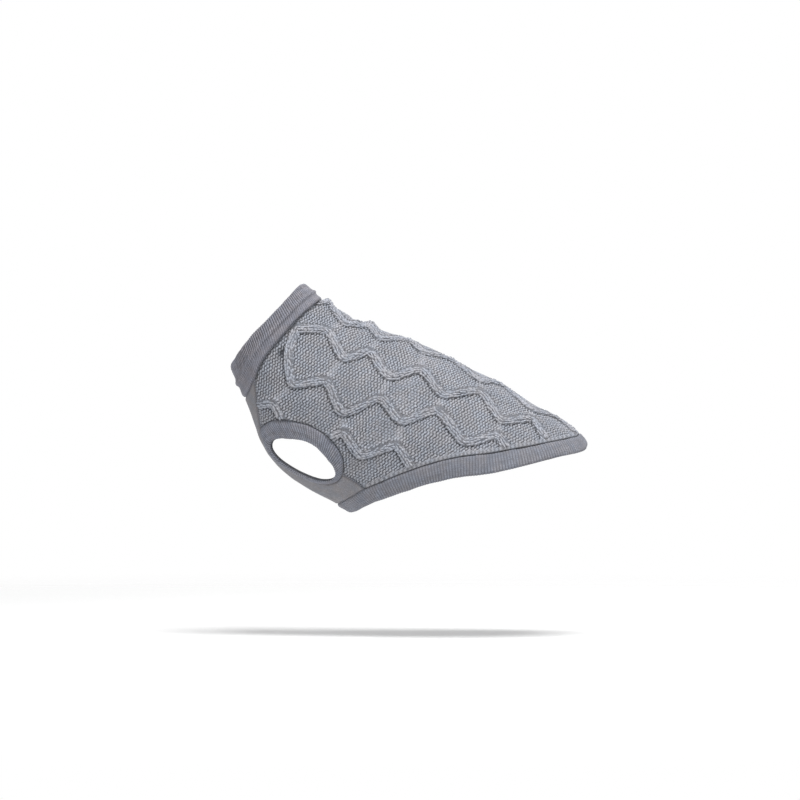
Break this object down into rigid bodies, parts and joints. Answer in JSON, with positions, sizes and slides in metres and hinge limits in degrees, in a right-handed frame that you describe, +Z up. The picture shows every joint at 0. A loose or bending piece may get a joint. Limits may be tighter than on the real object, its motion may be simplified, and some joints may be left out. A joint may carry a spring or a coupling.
{
  "type": "dog sweater",
  "caption": "Knitted pet sweater in its worn form: honeycomb-cable back over a plain belly panel, with ribbed collar, armhole bands and hem, open at neck, legs and hem.",
  "frame": {"origin": "inside of the back at the withers, on the spine line, where the wearer holds the garment up", "axes": "+X to the tail, level; +Y to the wearer's right; +Z up. The spine line runs 29.4 degrees down from the level towards +X"},
  "size_m": [0.3571, 0.1674, 0.2287],
  "materials": {
    "cable_knit": "chunky grey melange wool-blend knit, reverse stocking ground with raised cables, soft nap",
    "plain_knit": "fine-gauge grey melange knit, smooth",
    "rib_collar": "fine ribbed grey melange knit, doubled",
    "rib_hem": "fine ribbed grey melange knit, doubled",
    "rib_cuff": "fine ribbed grey melange knit, doubled"
  },
  "bodies": {
    "root": {"back_panel": "cable_knit", "belly_panel": "plain_knit", "collar": "rib_collar", "hem_band": "rib_hem", "cuff_left": "rib_cuff", "cuff_right": "rib_cuff"}
  },
  "joints": []
}
